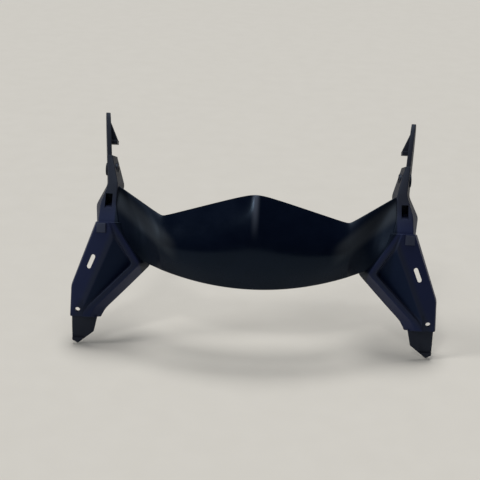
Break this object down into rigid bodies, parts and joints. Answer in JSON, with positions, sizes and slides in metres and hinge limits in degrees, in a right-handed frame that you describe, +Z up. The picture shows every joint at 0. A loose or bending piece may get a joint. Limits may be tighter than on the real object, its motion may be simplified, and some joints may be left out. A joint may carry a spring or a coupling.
{
  "type": "headlight surround",
  "caption": "Moulded plastic motorbike headlight surround: a crowned brow panel on splayed hollow legs, with thin upright mounting arms.",
  "frame": {"origin": "midway between the two arm bores, on their common axis", "axes": "+X to the right as seen from the front, -Y to the front of the bike, +Z up, with the face raked back as it sits on the bike"},
  "size_m": [0.3664, 0.1208, 0.2124],
  "materials": {
    "moulding": "gloss, dark navy"
  },
  "bodies": {
    "root": {"headlight_surround": "moulding"}
  },
  "joints": []
}
